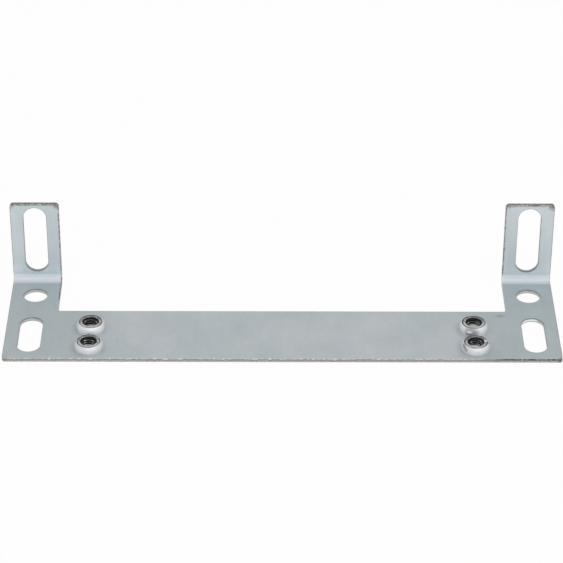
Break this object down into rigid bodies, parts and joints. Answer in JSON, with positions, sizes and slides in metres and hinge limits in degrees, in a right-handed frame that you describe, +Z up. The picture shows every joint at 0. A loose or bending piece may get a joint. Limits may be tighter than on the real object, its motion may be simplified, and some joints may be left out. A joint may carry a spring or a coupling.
{
  "type": "power supply mounting bracket",
  "caption": "Flat zinc-coated steel strip whose slotted ears are bent up into slotted tabs, with pressed-in threaded nuts, for fixing a power supply in a rack.",
  "frame": {"origin": "under the middle of the base, on the underside of the sheet, halfway between the front edge and the tabs' rear faces", "axes": "+X along the strip, +Y from the front edge to the tabs, +Z up, the way the tabs and the nuts rise"},
  "size_m": [0.15, 0.04, 0.0257],
  "materials": {
    "zinc_sheet": "satin zinc-coated sheet steel",
    "bright_zinc": "bright zinc-plated turned steel"
  },
  "bodies": {
    "root": {"bracket_plate": "zinc_sheet", "clinch_nuts": "bright_zinc"}
  },
  "joints": []
}
